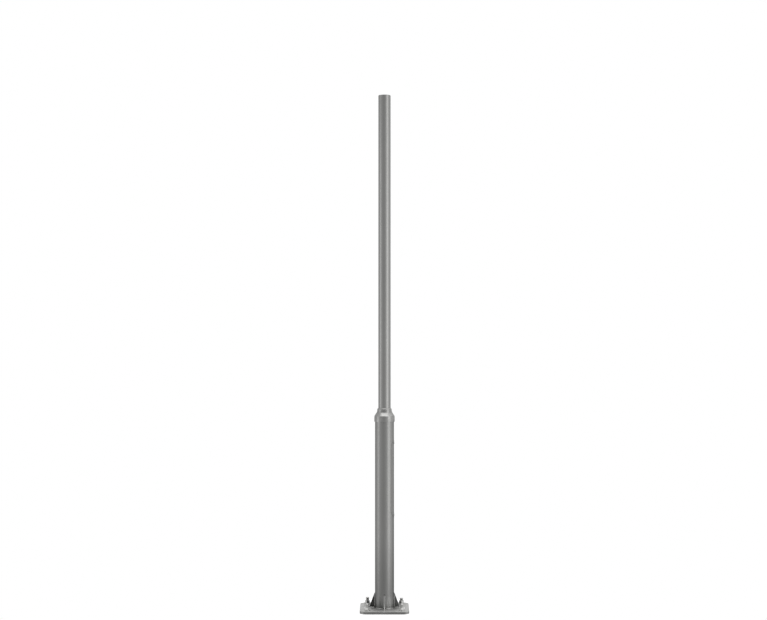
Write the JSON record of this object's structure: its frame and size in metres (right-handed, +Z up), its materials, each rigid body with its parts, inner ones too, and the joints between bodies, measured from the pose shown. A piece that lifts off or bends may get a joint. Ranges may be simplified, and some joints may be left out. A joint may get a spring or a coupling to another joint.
{
  "type": "mast",
  "caption": "Stepped round aluminium mast: wide lower tube with a flush access door, cast reducing collar, slim open-ended upper tube, gusseted base plate with anchor bolts.",
  "frame": {"origin": "centre of the base plate's underside", "axes": "+Z up the mast, -Y the front, +X the side with the access door"},
  "size_m": [0.2986, 0.2986, 3.151],
  "materials": {
    "shaft": "satin natural aluminium",
    "casting": "satin cast aluminium",
    "plate": "satin milled aluminium",
    "stud": "bright zinc plated",
    "washer": "bright zinc plated",
    "nut": "bright zinc plated",
    "lock": "plain stainless",
    "clamp": "zinc plated"
  },
  "bodies": {
    "root": {"base_plate": "plate", "lower_tube": "shaft", "upper_tube": "shaft", "access_door": "shaft", "collar": "casting", "gusset_front": "plate", "gusset_right": "plate", "gusset_back": "plate", "gusset_left": "plate", "anchor_stud_rear_left": "stud", "anchor_washer_rear_left": "washer", "anchor_nut_rear_left": "nut", "anchor_stud_rear_right": "stud", "anchor_washer_rear_right": "washer", "anchor_nut_rear_right": "nut", "anchor_stud_front_left": "stud", "anchor_washer_front_left": "washer", "anchor_nut_front_left": "nut", "anchor_stud_front_right": "stud", "anchor_washer_front_right": "washer", "anchor_nut_front_right": "nut", "door_lock_upper": "lock", "door_clamp_upper": "clamp", "door_lock_lower": "lock", "door_clamp_lower": "clamp"}
  },
  "joints": []
}
